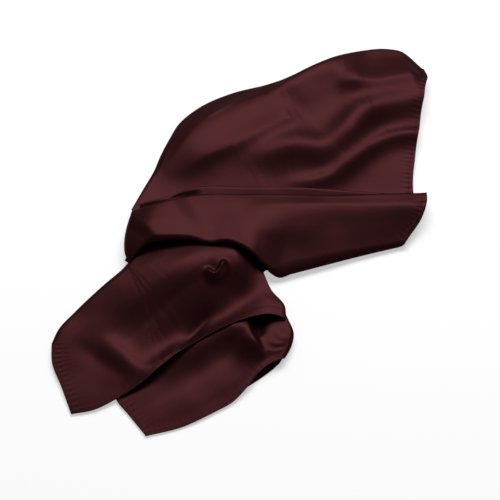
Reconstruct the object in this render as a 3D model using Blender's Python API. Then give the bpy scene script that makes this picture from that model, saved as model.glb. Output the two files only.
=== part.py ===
"""A square satin scarf, lying where it was dropped.

The square was folded once in half, pinched at the middle of its open side and let fall. Its fold makes the
far and left outline, its doubled end lies spread at the right as a fan, and two of its corners lie at the
lower left as tails. Each stretch of cloth is a wall along a smooth sheet between four sides; its folds are
rows of a table. Tables are in millimetres, on a plan with X to the right and Y away, and the model is built in
metres, +Z up, with the origin at the middle of its underside.
"""

from collections import namedtuple

import bmesh
import bpy
import numpy as np
from mathutils import Vector
from mathutils.bvhtree import BVHTree

MM = 0.001

# The cloth, in millimetres
WALL = 1.0
HEM_WALL = 1.5
HEM_WIDTH = 5.0
SEAM_GAP = 0.4
LOWEST = 0.9

# How finely a stretch is drawn: the places along each side, those of them by which its end's direction is
# read, and those along a fold's route; how narrow a fold is for its width; the rows over a rolled edge, as
# shares of the roll; and the rows tucked under it, by their angle round it
SIDE_STEPS = 160
END_STEPS = 12
ROUTE_STEPS = 24
CURVE_DETAIL = 8
EDGE_EVERY = 4
FOLD_SHARPNESS = 1.3
ROLL_PLACES = (0.0, 0.14, 0.5, 1.0)
TUCK_ANGLES = (40.0, 90.0)
TUCK_REACH = 0.8
# A hem's inset grows where it runs aslant of the grid, down to this sine of the angle
LEAST_SQUARE = 0.6

# The layers underneath: their height under the cloth, and the steps of the layers at their edges
CORE_CLEARANCE = 0.8
CORE_LEAST = 0.5
CORE_TOP = 10.5
CORE_COLUMNS = 41
CORE_ROWS = 14
ROOM_STEP = 3.0
ROOM_REACH = 12.0
BELOW_ALL = -5.0
LAYER_HEIGHT = 1.1
LAYER_WIDTH = 2.2
LAYER_SLOPE = 0.3
LAYERS = 2

SATIN = (0.095, 0.023, 0.028, 1.0)
SATIN_SHADE = (0.060, 0.016, 0.019, 1.0)

# A side runs through its points. An "edge" side is a fold: the cloth rolls over it from its top down to its
# foot, over the width of the roll. Other sides keep to their top height.
Side = namedtuple("Side", "kind points")
Edge = namedtuple("Edge", "x y top foot roll")
Point = namedtuple("Point", "x y top")
# A soft ridge (height above 0) or trough (below 0): its widths on the left and right of its route, the share
# of its length over which it rises at its start and sinks at its end, and the plan points of the route.
Fold = namedtuple("Fold", "height left right rise sink route")
Stretch = namedtuple("Stretch", "name first last start end columns rows folds")


def edge(*rows):
    return Side("edge", [Edge(*row) for row in rows])


def hem(*rows):
    return Side("hem", [Point(*row) for row in rows])


def hidden(*rows):
    return Side("hidden", [Point(*row) for row in rows])


STRETCHES = [
    Stretch(
        "fan_back",
        first=edge(
            (-118, 16, 9, 6.0, 4),
            (-107, 46, 6, 0.8, 7),
            (-98, 68, 4, 0.8, 7),
            (-92, 88, 4, 0.8, 7),
            (-84, 109, 4, 0.8, 7),
            (-75, 129, 4, 0.8, 7),
            (-57, 149, 4, 0.8, 7),
            (-20, 171, 4, 0.8, 7),
            (16, 182, 4, 0.8, 7),
            (33, 187, 5, 0.8, 7),
            (64, 205, 6, 0.8, 8),
            (84, 216, 6, 0.8, 8),
            (116, 228, 6, 0.8, 7),
            (147, 232, 6, 0.8, 6),
            (160, 229, 6, 0.8, 6),
            (170, 219, 6, 0.8, 6),
            (177, 209, 6, 0.8, 5),
            (182, 201, 6, 1.5, 4),
        ),
        last=hidden((-112, 4, 7), (-60, 14, 5), (0, 20, 4), (90, 20, 3.5), (162, 24, 3)),
        start=hidden((-118, 16, 9), (-112, 4, 7)),
        end=hem(
            (182, 201, 6),
            (185, 188, 5),
            (183, 179, 4.5),
            (181, 171, 4),
            (179, 158, 4),
            (175, 140, 4),
            (172, 120, 4),
            (168, 100, 4),
            (165, 80, 3.5),
            (162, 60, 3.5),
            (161, 42, 3),
            (162, 24, 3),
        ),
        columns=27,
        rows=15,
        folds=[
            Fold(7, 34, 120, 0.25, 0.3, [(-96, 70), (0, 136), (90, 198), (160, 246)]),
            Fold(
                6, 20, 34, 0.35, 0.35,
                [
                    (-101, 26), (-90, 50), (-80, 70), (-70, 90), (-60, 108),
                    (-46, 126), (-9, 148), (23, 160), (60, 172),
                ],
            ),
            Fold(
                4.2, 25, 14, 0.3, 0.15,
                [(-100, 41), (-86, 52), (-71, 64), (-42, 82), (-12, 97), (19, 118), (54, 138)],
            ),
            Fold(
                10, 30, 27, 0.3, 0,
                [
                    (-26, 62), (-12, 71), (19, 85), (49, 92), (66, 89), (80, 92),
                    (91, 101), (103, 118), (118, 137), (134, 145), (151, 151), (200, 170),
                ],
            ),
            Fold(
                3, 20, 24, 0.4, 0.4,
                [(72, 88), (84, 94), (95, 108), (106, 124), (122, 141), (142, 148)],
            ),
            Fold(
                4.5, 12, 14, 0.3, 0,
                [
                    (18, 44), (48, 49), (66, 51), (78, 56), (94, 69),
                    (110, 83), (125, 96), (141, 106), (200, 113),
                ],
            ),
            Fold(
                9, 34, 20, 0.3, 0.2,
                [(78, 176), (95, 177), (110, 176), (127, 177), (141, 181), (158, 186), (186, 193)],
            ),
            Fold(
                8, 15, 45, 0.35, 0.4,
                [(0, 158), (28, 168), (48, 180), (66, 192), (86, 202), (108, 210), (132, 212)],
            ),
        ],
    ),
    Stretch(
        "fan_tuck",
        first=edge(
            (-110, 19, 14, 11.0, 3),
            (-100, 22, 16, 11.0, 3),
            (-85, 27, 15, 9.5, 4),
            (-63, 39, 13, 8.5, 4),
            (0, 42, 11, 8.8, 4),
            (60, 41, 11, 8.5, 4),
            (100, 38, 10, 7.5, 4),
            (140, 35, 9, 6.5, 4),
        ),
        last=hidden((-108, 3, 9), (-60, 15, 9), (0, 20, 8), (142, 22, 6)),
        start=hidden((-110, 19, 14), (-108, 3, 9)),
        end=hidden((140, 35, 9), (142, 22, 6)),
        columns=20,
        rows=3,
        folds=[
            Fold(-2, 5, 5, 0.3, 0.3, [(-85, 24), (-75, 28), (-61, 31), (-48, 34)]),
        ],
    ),
    Stretch(
        "fan_front",
        first=edge(
            (-117, 10, 14, 12.0, 3),
            (-94, 15, 19, 14.5, 4),
            (-60, 27, 18, 13.0, 4),
            (0, 30, 16, 12.0, 4),
            (88, 30, 14, 11.0, 4),
            (140, 33, 13, 9.0, 4),
            (173, 35, 11, 8.0, 4),
        ),
        last=edge(
            (-117, -50, 11.6, 10.5, 3),
            (-108, -40, 18, 13.0, 4),
            (-97, -33, 23, 16.0, 5),
            (-80, -31, 25, 18.0, 5),
            (-58, -31, 25, 19.0, 5),
            (-40, -35, 24, 19.4, 4),
            (-24, -34, 26, 20.0, 4),
            (-8, -40, 25, 18.5, 4),
            (2, -46, 22, 17.0, 4),
            (10, -53, 17, 13.0, 4),
            (18, -59, 12, 5.0, 4),
            (26, -62, 8, 0.8, 5),
            (38, -58, 7, 0.8, 6),
            (60, -51, 7, 0.8, 6),
            (110, -35, 6, 0.8, 6),
            (148, -24, 5, 0.8, 4),
        ),
        start=edge(
            (-117, 10, 14, 12.0, 3),
            (-122, -9, 13, 1.0, 4),
            (-123, -27, 13, 1.0, 4),
            (-121, -41, 12, 8.0, 4),
            (-117, -50, 11.6, 10.5, 3),
        ),
        end=hem((173, 35, 11), (173, 27, 11), (166, 3, 8), (154, -15, 6), (148, -24, 5)),
        columns=27,
        rows=10,
        folds=[
            Fold(4, 14, 32, 0.35, 0, [(-15, 8), (40, 12), (88, 13), (140, 14), (190, 18)]),
            Fold(2.5, 30, 40, 0.2, 0.3, [(-112, -20), (-95, -5), (-80, 6), (-60, 18)]),
            Fold(-1, 3, 4, 0.6, 0, [(154, 19), (162, 21), (180, 26)]),
        ],
    ),
    Stretch(
        "tail_upper",
        first=edge(
            (-110, -26, 9, 7.5, 2),
            (-114, -38, 7, 3.0, 3),
            (-120, -50, 7, 1.5, 4),
            (-140, -74, 12, 0.8, 7),
            (-166, -104, 11, 0.8, 7),
            (-180, -122, 8, 0.8, 6),
            (-185, -136, 5, 0.8, 4),
        ),
        last=hem(
            (32, -112, 12),
            (17, -112, 15),
            (3, -116, 17),
            (-11, -126, 16),
            (-48, -147, 11),
            (-73, -167, 7),
            (-97, -182, 4.5),
            (-123, -194, 3),
            (-142, -204, 2),
            (-162, -208, 1.5),
        ),
        start=edge(
            (-110, -26, 9, 7.5, 2),
            (-60, -22, 12.2, 11.3, 2),
            (-30, -24, 10.5, 9.8, 2),
            (-8, -30, 7, 5.5, 2),
            (4, -40, 6, 4.5, 2),
            (9, -50, 8, 5.5, 3),
            (12, -60, 12, 7.0, 4),
            (19, -79, 15, 8.0, 5),
            (31, -97, 14, 8.5, 4),
            (32, -112, 12, 8.5, 3),
        ),
        end=hem((-185, -136, 5), (-183, -156, 3), (-173, -180, 2), (-162, -208, 1.5)),
        columns=21,
        rows=18,
        folds=[
            Fold(
                10, 23, 34, 0.2, 0.3,
                [
                    (-2, -38), (-18, -40), (-38, -49), (-58, -63),
                    (-78, -77), (-98, -91), (-114, -103), (-132, -117),
                ],
            ),
            Fold(
                -4.5, 30, 26, 0, 0.3,
                [
                    (16, -34), (4, -46), (-9, -58), (-19, -70), (-30, -83), (-42, -97),
                    (-54, -111), (-65, -124), (-81, -133), (-102, -133), (-124, -123),
                ],
            ),
            Fold(
                -3, 14, 18, 0.3, 0.3,
                [
                    (-14, -56), (-25, -74), (-33, -90), (-40, -103),
                    (-46, -115), (-54, -126), (-63, -137),
                ],
            ),
            Fold(
                4.5, 13, 12, 0.2, 0.4,
                [
                    (-140, -126), (-121, -136), (-102, -145), (-86, -147),
                    (-70, -141), (-58, -130), (-50, -119), (-43, -109),
                ],
            ),
            Fold(
                -1.8, 10, 10, 0.25, 0.35,
                [(-169, -127), (-159, -137), (-142, -151), (-130, -160), (-115, -168), (-96, -170)],
            ),
        ],
    ),
    Stretch(
        "tail_lower",
        first=hidden((-25, -78, 5.5), (-60, -118, 4), (-95, -155, 2.5), (-126, -185, 1.5)),
        last=hem(
            (30, -152, 6),
            (20, -156, 6),
            (9, -164, 5),
            (-4, -181, 3.5),
            (-17, -196, 2.5),
            (-33, -206, 2),
            (-62, -221, 1.5),
            (-94, -230, 1.5),
        ),
        start=edge(
            (-25, -78, 5.5, 5.0, 2),
            (10, -85, 6, 5.2, 2),
            (29, -98, 5.5, 3.0, 3),
            (34, -110, 7, 3.0, 4),
            (39, -126, 8, 2.5, 4),
            (37, -138, 7, 2.5, 4),
            (30, -152, 6, 3.5, 3),
        ),
        end=hem((-126, -185, 1.5), (-122, -194, 1.5), (-111, -208, 1.5), (-94, -230, 1.5)),
        columns=20,
        rows=12,
        folds=[
            Fold(4, 20, 20, 0.2, 0.4, [(-4, -122), (-20, -134), (-45, -150), (-70, -167), (-92, -182)]),
            Fold(
                7, 5, 13, 0.1, 0.3,
                [(-8, -98), (-8, -115), (-5, -126), (0, -135), (8, -143), (15, -150)],
            ),
            Fold(-3.8, 5, 5, 0.1, 0.3, [(12, -98), (9, -112), (7, -122), (9, -132)]),
        ],
    ),
]

# Each hem: the stretch that it finishes and the side that it runs along
HEMS = {
    "hem_fan_back": ("fan_back", "end"),
    "hem_fan_front": ("fan_front", "end"),
    "hem_tail_upper_end": ("tail_upper", "end"),
    "hem_tail_upper_side": ("tail_upper", "last"),
    "hem_tail_lower_end": ("tail_lower", "end"),
    "hem_tail_lower_side": ("tail_lower", "last"),
}

# The layers underneath, a row for each section from the tails to the fan: its left and right end on the plan
Section = namedtuple("Section", "left_x left_y right_x right_y")
CORE_SECTIONS = [
    Section(-172, -145, -155, -192),
    Section(-155, -112, -120, -183),
    Section(-135, -88, -98, -210),
    Section(-118, -68, -60, -203),
    Section(-108, -48, -24, -196),
    Section(-107, -28, 10, -176),
    Section(-109, -10, 30, -146),
    Section(-108, 8, 24, -108),
    Section(-102, 26, 8, -62),
    Section(-92, 48, 32, -44),
    Section(-78, 85, 62, -37),
    Section(-62, 118, 105, -23),
    Section(-25, 148, 140, -13),
    Section(40, 172, 158, 15),
    Section(90, 199, 156, 50),
    Section(128, 212, 160, 95),
    Section(152, 213, 166, 135),
    Section(168, 200, 172, 165),
]


def spline(points, count):
    """Evenly spaced places along a smooth curve through the points, by their distance on the plan."""
    points = np.array(points, float)
    steps = np.linalg.norm(np.diff(points[:, :2], axis=0), axis=1)
    knots = np.concatenate([[0.0], np.cumsum(steps)])
    chords = np.diff(points, axis=0) / steps[:, None]
    before, after = steps[:-1, None], steps[1:, None]
    inner = (chords[:-1] * after + chords[1:] * before) / (before + after)
    slopes = np.vstack([chords[:1], inner, chords[-1:]])
    place = np.linspace(0.0, knots[-1], CURVE_DETAIL * count)
    i = np.clip(np.searchsorted(knots, place, "right") - 1, 0, len(steps) - 1)
    size = steps[i][:, None]
    s = (place[:, None] - knots[i][:, None]) / size
    curve = (
        (1 + 2 * s) * (1 - s) ** 2 * points[i]
        + s * (1 - s) ** 2 * size * slopes[i]
        + s**2 * (3 - 2 * s) * points[i + 1]
        + s**2 * (s - 1) * size * slopes[i + 1]
    )
    gone = np.concatenate([[0.0], np.cumsum(np.linalg.norm(np.diff(curve[:, :2], axis=0), axis=1))])
    even = np.linspace(0.0, gone[-1], count)
    return np.column_stack([np.interp(even, gone, column) for column in curve.T])


def at(curve, places):
    """The values of an evenly spaced curve at places from 0 to 1."""
    along = np.linspace(0.0, 1.0, len(curve))
    return np.stack([np.interp(places, along, column) for column in curve.T], axis=-1)


def plan_length(curve):
    return np.linalg.norm(np.diff(curve[:, :2], axis=0), axis=1).sum()


def beside(route, plan):
    """How far each plan point lies from a route, whether on its left, and its place along it from 0 to 1."""
    steps = np.diff(route, axis=0)
    away = plan[:, None, :] - route[None, :-1]
    along = np.clip((away * steps).sum(2) / (steps**2).sum(1), 0.0, 1.0)
    gap = np.linalg.norm(away - along[..., None] * steps, axis=2)
    nearest = gap.argmin(1)
    each = np.arange(len(plan))
    near = away[each, nearest]
    step = steps[nearest]
    left = step[:, 0] * near[:, 1] - step[:, 1] * near[:, 0] > 0
    return gap[each, nearest], left, (nearest + along[each, nearest]) / len(steps)


def smooth(share):
    share = np.clip(share, 0.0, 1.0)
    return share * share * (3 - 2 * share)


def fold_heights(folds, plan):
    total = np.zeros(len(plan))
    for fold in folds:
        away, left, place = beside(spline(fold.route, ROUTE_STEPS), plan)
        width = np.where(left, fold.left, fold.right)
        rising = smooth(place / fold.rise) if fold.rise else 1.0
        sinking = smooth((1 - place) / fold.sink) if fold.sink else 1.0
        total += fold.height * rising * sinking / np.cosh(FOLD_SHARPNESS * away / width) ** 2
    return total


class Cloth:
    """One stretch as a smooth sheet: u runs from its start to its end side, v from its first to its last."""

    def __init__(self, stretch):
        self.stretch = stretch
        self.sides = {name: getattr(stretch, name) for name in ("first", "last", "start", "end")}
        self.curves = {name: spline(side.points, SIDE_STEPS) for name, side in self.sides.items()}
        for curve in self.curves.values():
            curve[:, 2:4] = np.maximum(curve[:, 2:4], LOWEST)

    def surface(self, u, v):
        first, last, start, end = (
            at(self.curves[name][:, :3], where)
            for name, where in (("first", u), ("last", u), ("start", v), ("end", v))
        )
        corners = [self.curves[name][i, :3] for name in ("first", "last") for i in (0, -1)]
        u = u[..., None]
        v = v[..., None]
        sheet = (1 - v) * first + v * last + (1 - u) * start + u * end
        sheet -= (1 - v) * ((1 - u) * corners[0] + u * corners[1])
        sheet -= v * ((1 - u) * corners[2] + u * corners[3])
        plan = sheet[..., :2].reshape(-1, 2)
        height = sheet[..., 2].reshape(-1) + fold_heights(self.stretch.folds, plan)
        for name, side in self.sides.items():
            if side.kind == "edge":
                height = self.rolled(self.curves[name], plan, height)
        return np.column_stack([plan, np.maximum(height, LOWEST)]).reshape(sheet.shape)

    def rolled(self, curve, plan, height):
        """The heights, brought down in a quarter round over the edge, halfway from its top to its foot."""
        away, _, place = beside(curve[::EDGE_EVERY, :2], plan)
        top, foot, roll = at(curve[:, 2:5], place).T
        share = np.clip(away / roll, 0.0, 1.0)
        middle = (top + foot) / 2
        return middle + (height - middle) * np.sqrt(1 - (1 - share) ** 2)

    def starts(self, name, places):
        """Distances from a side at which the rows next to it lie, at each place along it."""
        kind = self.sides[name].kind
        if kind == "edge":
            return np.array(ROLL_PLACES)[:, None] * at(self.curves[name][:, 4:5], places)[:, 0]
        inset = (HEM_WIDTH + SEAM_GAP) * self.slant(name, places) if kind == "hem" else np.zeros(len(places))
        return inset[None]

    def slant(self, name, places):
        """How much longer a step along the grid is than one square to the "last" or the "end" side."""
        if name == "last":
            step = at(self.curves["last"][:, :2], places) - at(self.curves["first"][:, :2], places)
        else:
            curves = (self.curves["first"], self.curves["last"])
            rows = [curve[-1, :2] - curve[-END_STEPS, :2] for curve in curves]
            step = rows[0] * (1 - places[:, None]) + rows[1] * places[:, None]
        side = at(np.gradient(self.curves[name][:, :2], axis=0), places)
        crossed = np.abs(step[:, 0] * side[:, 1] - step[:, 1] * side[:, 0])
        square = crossed / np.linalg.norm(step, axis=1) / np.linalg.norm(side, axis=1)
        return 1 / np.maximum(square, LEAST_SQUARE)

    def shares(self, count, lengths, near, near_places, far, far_places):
        head = self.starts(near, near_places) / lengths
        tail = 1 - self.starts(far, far_places)[::-1] / lengths
        inner = max(count - len(head) - len(tail), 1)
        body = np.linspace(head[-1], tail[0], inner + 2)[1:-1]
        return np.vstack([head, body, tail])

    def panel_shares(self):
        """u and v of a panel's grid, closer together where it rolls over an edge."""
        lengths = np.array([plan_length(self.curves[name]) for name in ("first", "last")])
        middle = np.array([0.5])
        u_line = self.shares(self.stretch.columns, lengths.mean(), "start", middle, "end", middle)[:, 0]
        across = at(self.curves["last"][:, :2], u_line) - at(self.curves["first"][:, :2], u_line)
        v = self.shares(self.stretch.rows, np.linalg.norm(across, axis=1), "first", u_line, "last", u_line)
        row_lengths = lengths[0] + (lengths[1] - lengths[0]) * v[:, -1]
        u = self.shares(self.stretch.columns, row_lengths, "start", v[:, 0], "end", v[:, -1]).T
        return u, v

    def panel(self):
        u, v = self.panel_shares()
        grid = self.surface(u, v)
        for name, axis in (("first", 0), ("last", 0), ("start", 1), ("end", 1)):
            if self.sides[name].kind == "edge":
                grid = self.tucked(grid, name, axis)
        return grid

    def tucked(self, grid, name, axis):
        """The grid with the rows that turn under an edge, back along its inner side down to the foot."""
        lines = np.moveaxis(grid, axis, 0)
        if name in ("last", "end"):
            lines = lines[::-1]
        rim, inner = lines[0], lines[len(ROLL_PLACES) - 1]
        _, _, place = beside(self.curves[name][::EDGE_EVERY, :2], rim[:, :2])
        foot, roll = at(self.curves[name][:, 3:5], place).T
        along = np.gradient(rim[:, :2], axis=0)
        inward = np.column_stack([-along[:, 1], along[:, 0]])
        inward /= np.linalg.norm(inward, axis=1)[:, None]
        inward *= np.sign(((inner - rim)[:, :2] * inward).sum(1).mean())
        for angle in np.radians(TUCK_ANGLES):
            row = rim.copy()
            row[:, :2] += inward * (TUCK_REACH * roll * (1 - np.cos(angle)))[:, None]
            row[:, 2] -= np.maximum(rim[:, 2] - foot, 0.0) * np.sin(angle)
            lines = np.concatenate([row[None], lines])
        if name in ("last", "end"):
            lines = lines[::-1]
        return np.moveaxis(lines, 0, axis)

    def hem(self, name):
        """The grid of the strip along the "last" or the "end" side, from its inner to its outer line."""
        u, v = self.panel_shares()
        inward = np.array([HEM_WIDTH, HEM_WIDTH / 2, 0.0])[:, None]
        if name == "end":
            places = v[:, -1]
            if self.sides["last"].kind == "hem":
                places = np.append(places, [(1 + places[-1]) / 2, 1.0])
            lengths = [plan_length(self.curves[side]) for side in ("first", "last")]
            lengths = lengths[0] * (1 - places) + lengths[1] * places
        else:
            places = u[-1]
            across = at(self.curves["last"][:, :2], places) - at(self.curves["first"][:, :2], places)
            lengths = np.linalg.norm(across, axis=1)
        strip = 1 - inward * self.slant(name, places) / lengths
        along = np.broadcast_to(places, strip.shape)
        return self.surface(strip, along) if name == "end" else self.surface(along, strip)


def clear_scene():
    for obj in list(bpy.data.objects):
        bpy.data.objects.remove(obj, do_unlink=True)


def satin(name, color):
    material = bpy.data.materials.new(name)
    material.use_nodes = True
    shader = material.node_tree.nodes["Principled BSDF"]
    shader.inputs["Base Color"].default_value = color
    shader.inputs["Roughness"].default_value = 0.45
    shader.inputs["Metallic"].default_value = 0.0
    return material


def grid_object(name, grid, material):
    """An object whose mesh is a flat grid with its points moved to those given, in millimetres."""
    rows, columns = grid.shape[:2]
    bm = bmesh.new()
    bmesh.ops.create_grid(bm, x_segments=columns - 1, y_segments=rows - 1, size=0.5)
    ordered = sorted(bm.verts, key=lambda vert: (round(vert.co.y, 5), round(vert.co.x, 5)))
    for vert, place in zip(ordered, grid.reshape(-1, 3)):
        vert.co = Vector(place * MM)
    mesh = bpy.data.meshes.new(name)
    bm.to_mesh(mesh)
    bm.free()
    mesh.shade_smooth()
    mesh.materials.append(material)
    obj = bpy.data.objects.new(name, mesh)
    bpy.context.scene.collection.objects.link(obj)
    return obj


def wall(name, grid, thickness, material):
    obj = grid_object(name, grid, material)
    modifier = obj.modifiers.new("Wall", "SOLIDIFY")
    modifier.thickness = thickness * MM
    modifier.offset = 0.0
    return obj


def tree_of(grids):
    """All the cloth's middle surfaces as one tree of quads, in millimetres."""
    points = []
    quads = []
    for grid in grids:
        rows, columns = grid.shape[:2]
        base = len(points)
        points += [Vector(place) for place in grid.reshape(-1, 3)]
        for r in range(rows - 1):
            for c in range(columns - 1):
                corner = base + r * columns + c
                quads.append((corner, corner + 1, corner + columns + 1, corner + columns))
    return BVHTree.FromPolygons(points, quads)


def room_under(tree, plan):
    """How high the layers underneath may reach at each plan point: below all of the cloth near it."""
    low = plan.reshape(-1, 2).min(axis=0) - ROOM_REACH
    high = plan.reshape(-1, 2).max(axis=0) + ROOM_REACH
    raster = np.mgrid[low[0] : high[0] : ROOM_STEP, low[1] : high[1] : ROOM_STEP].reshape(2, -1).T
    hits = [tree.ray_cast(Vector((x, y, BELOW_ALL)), Vector((0, 0, 1)))[0] for x, y in raster]
    found = np.array([hit is not None for hit in hits])
    raster = raster[found]
    cloth = np.array([hit.z for hit in hits if hit is not None])
    gaps = (np.linalg.norm(raster - place, axis=1) for place in plan.reshape(-1, 2))
    lowest = [cloth[gap < ROOM_REACH].min() for gap in gaps]
    return np.array(lowest).reshape(plan.shape[:2]) - WALL / 2 - CORE_CLEARANCE


def hidden_layers(grids, material):
    """One rounded solid of the folded layers: flat below, stepped at its edges, and close under the cloth."""
    tree = tree_of(grids)
    sections = spline(CORE_SECTIONS, CORE_COLUMNS)
    widths = np.linalg.norm(sections[:, 2:] - sections[:, :2], axis=1)
    edges = LAYER_WIDTH * np.arange(1, LAYERS + 1)
    steps = np.concatenate([[0.0], np.column_stack([edges, edges + LAYER_SLOPE]).ravel()])
    head = steps[:, None] / widths
    body = np.linspace(head[-1], 1 - head[-1], CORE_ROWS)[1:-1]
    v = np.vstack([head, body, 1 - head[::-1]])
    plan = sections[None, :, :2] * (1 - v[..., None]) + sections[None, :, 2:] * v[..., None]
    inset = np.minimum(v, 1 - v) * widths
    layers_out = 1 + (inset[..., None] > edges + LAYER_SLOPE / 2).sum(axis=2)
    terrace = np.where(layers_out > LAYERS, CORE_TOP, LAYER_HEIGHT * layers_out)
    height = np.clip(np.minimum(room_under(tree, plan), terrace), CORE_LEAST, CORE_TOP)
    obj = grid_object("hidden_layers", np.concatenate([plan, height[..., None]], axis=2), material)
    bm = bmesh.new()
    bm.from_mesh(obj.data)
    below = bmesh.ops.extrude_face_region(bm, geom=bm.faces[:])["geom"]
    for vert in [item for item in below if isinstance(item, bmesh.types.BMVert)]:
        vert.co.z = 0.0
    bmesh.ops.recalc_face_normals(bm, faces=bm.faces[:])
    bm.to_mesh(obj.data)
    bm.free()
    return obj


def main():
    clear_scene()
    bpy.context.scene.unit_settings.system = "METRIC"
    top_finish = satin("satin", SATIN)
    under_finish = satin("satin_under", SATIN_SHADE)
    cloths = {stretch.name: Cloth(stretch) for stretch in STRETCHES}
    grids = {name: cloth.panel() for name, cloth in cloths.items()}
    pieces = [wall(name, grid, WALL, top_finish) for name, grid in grids.items()]
    for name, (stretch, side) in HEMS.items():
        grids[name] = cloths[stretch].hem(side)
        pieces.append(wall(name, grids[name], HEM_WALL, top_finish))
    pieces.append(hidden_layers(grids.values(), under_finish))
    scarf = bpy.data.objects.new("scarf", None)
    bpy.context.scene.collection.objects.link(scarf)
    for piece in pieces:
        piece.parent = scarf


if __name__ == "__main__":
    main()
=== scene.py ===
"""The looks of a square satin scarf that lies where it was dropped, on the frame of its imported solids.

The square is folded once, pinched at the middle of its open side and let fall. Each stretch of the cloth
is a thin shell along a smooth sheet between four sides, with its large folds and its fine creases as rows
of a table. Along the hems the sheet puckers, and the hems are turned strips with a line of stitches.
Tables are in millimetres, on a plan with X to the right and Y away, where nothing else is said. The pieces
are made in metres.
"""

import math
from collections import namedtuple

import bmesh
import bpy
import numpy as np
from bpy.props import FloatProperty, FloatVectorProperty
from mathutils import Matrix, Vector, noise
from mathutils.bvhtree import BVHTree


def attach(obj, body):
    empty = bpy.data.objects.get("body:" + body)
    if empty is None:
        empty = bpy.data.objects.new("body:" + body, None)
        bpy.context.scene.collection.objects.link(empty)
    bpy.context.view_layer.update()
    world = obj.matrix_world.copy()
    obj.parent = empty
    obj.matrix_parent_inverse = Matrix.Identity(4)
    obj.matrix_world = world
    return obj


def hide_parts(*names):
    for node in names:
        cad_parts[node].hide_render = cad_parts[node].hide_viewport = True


bl_info = {
    "name": "Dropped Satin Scarf",
    "version": (1, 0, 0),
    "blender": (4, 5, 0),
    "location": "View3D > Sidebar > Scarf",
    "description": "Builds a folded and dropped satin square from its stretches, hems and stitches",
    "category": "Add Mesh",
}

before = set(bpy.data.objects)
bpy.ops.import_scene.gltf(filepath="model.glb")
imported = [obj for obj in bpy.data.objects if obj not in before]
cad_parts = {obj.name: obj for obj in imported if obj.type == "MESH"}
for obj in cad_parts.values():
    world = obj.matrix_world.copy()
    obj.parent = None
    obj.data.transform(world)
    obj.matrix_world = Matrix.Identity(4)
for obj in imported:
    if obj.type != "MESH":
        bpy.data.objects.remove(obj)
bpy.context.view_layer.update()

MM = 0.001
BODY = "root"

# How a side and a fold are read
SIDE_STEPS = 160
END_STEPS = 12
ROUTE_STEPS = 24
CURVE_DETAIL = 8
EDGE_EVERY = 2
FOLD_SHARPNESS = 1.3
LEAST_SQUARE = 0.6

# The lowest that a sheet's middle lies, and how softly it bends where it reaches it
LOWEST = 0.45
LOWEST_BEND = 0.2

# Turned edges: the angles at which rows lie round the upper and the lower half of a fold
ROLL_ANGLES = np.radians([0, 8, 16, 24, 32, 39, 46, 53, 60, 66, 72, 78, 84, 90])
TUCK_ANGLES = np.radians([15, 30, 50, 70, 90])
TUCK_REACH = 0.8
UNDER_REACH = 5.0

# Hems, in millimetres
HEM_WIDTH = 5.0
HEM_UNDERLAP = 2.0
HEM_ROWS = 8
HEM_ROUND = 0.22
HEM_SEGMENTS = 2
SHARP_ANGLE = math.radians(60)
STITCH_PITCH = 3.0
STITCH_LENGTH = 2.2
STITCH_WIDTH = 0.34
STITCH_INSET = 1.3
STITCH_SIDES = 6
STITCH_RINGS = 4
ACROSS_STEP = 0.5

# The share of a hem's length at which its strip starts, where it leaves a folded edge
HEM_START = 0.004

# Puckers: waves along a hem that wander to and fro, and whose height swells and sinks
Wave = namedtuple("Wave", "size length start")
PUCKER_PERIOD = 5.2
PUCKER_REACH = 4.0
PUCKER_RIM = 0.35
PUCKER_WANDER = [Wave(1.3, 17, 0), Wave(0.8, 7.3, 0)]
PUCKER_MIDDLE = 0.6
PUCKER_SWELL = [Wave(0.25, 23, 1), Wave(0.15, 9, 0)]

# How the cloth lies between its folds
LIE_LENGTH = 30.0
LIE_HEIGHT = 0.5

# The layers underneath
CORE_CLEARANCE = 0.5
CORE_LEAST = 0.4
CORE_TOP = 10.5
CORE_COLUMNS = 130
CORE_ROWS = 70
ROOM_STEP = 3.0
ROOM_REACH = 9.0
BELOW_ALL = -5.0
LAYER_HEIGHT = 1.1
LAYER_WIDTH = 2.2
LAYER_SLOPE = 0.3
LAYERS = 2

# A side runs through its points. An "edge" side is a fold: the cloth rolls over it from its top down to
# its foot, over the width of the roll. Other sides keep to their top height.
Side = namedtuple("Side", "kind points")
Edge = namedtuple("Edge", "x y top foot roll")
Point = namedtuple("Point", "x y top")
# A soft ridge (height above 0) or trough (below 0): its widths on the left and right of its route, the
# share of its length over which it rises at its start and sinks at its end, and the route's plan points.
Fold = namedtuple("Fold", "height left right rise sink route")
Stretch = namedtuple("Stretch", "name first last start end folds")


def edge(*rows):
    return Side("edge", [Edge(*row) for row in rows])


def hem(*rows):
    return Side("hem", [Point(*row) for row in rows])


def hidden(*rows):
    return Side("hidden", [Point(*row) for row in rows])


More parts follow.
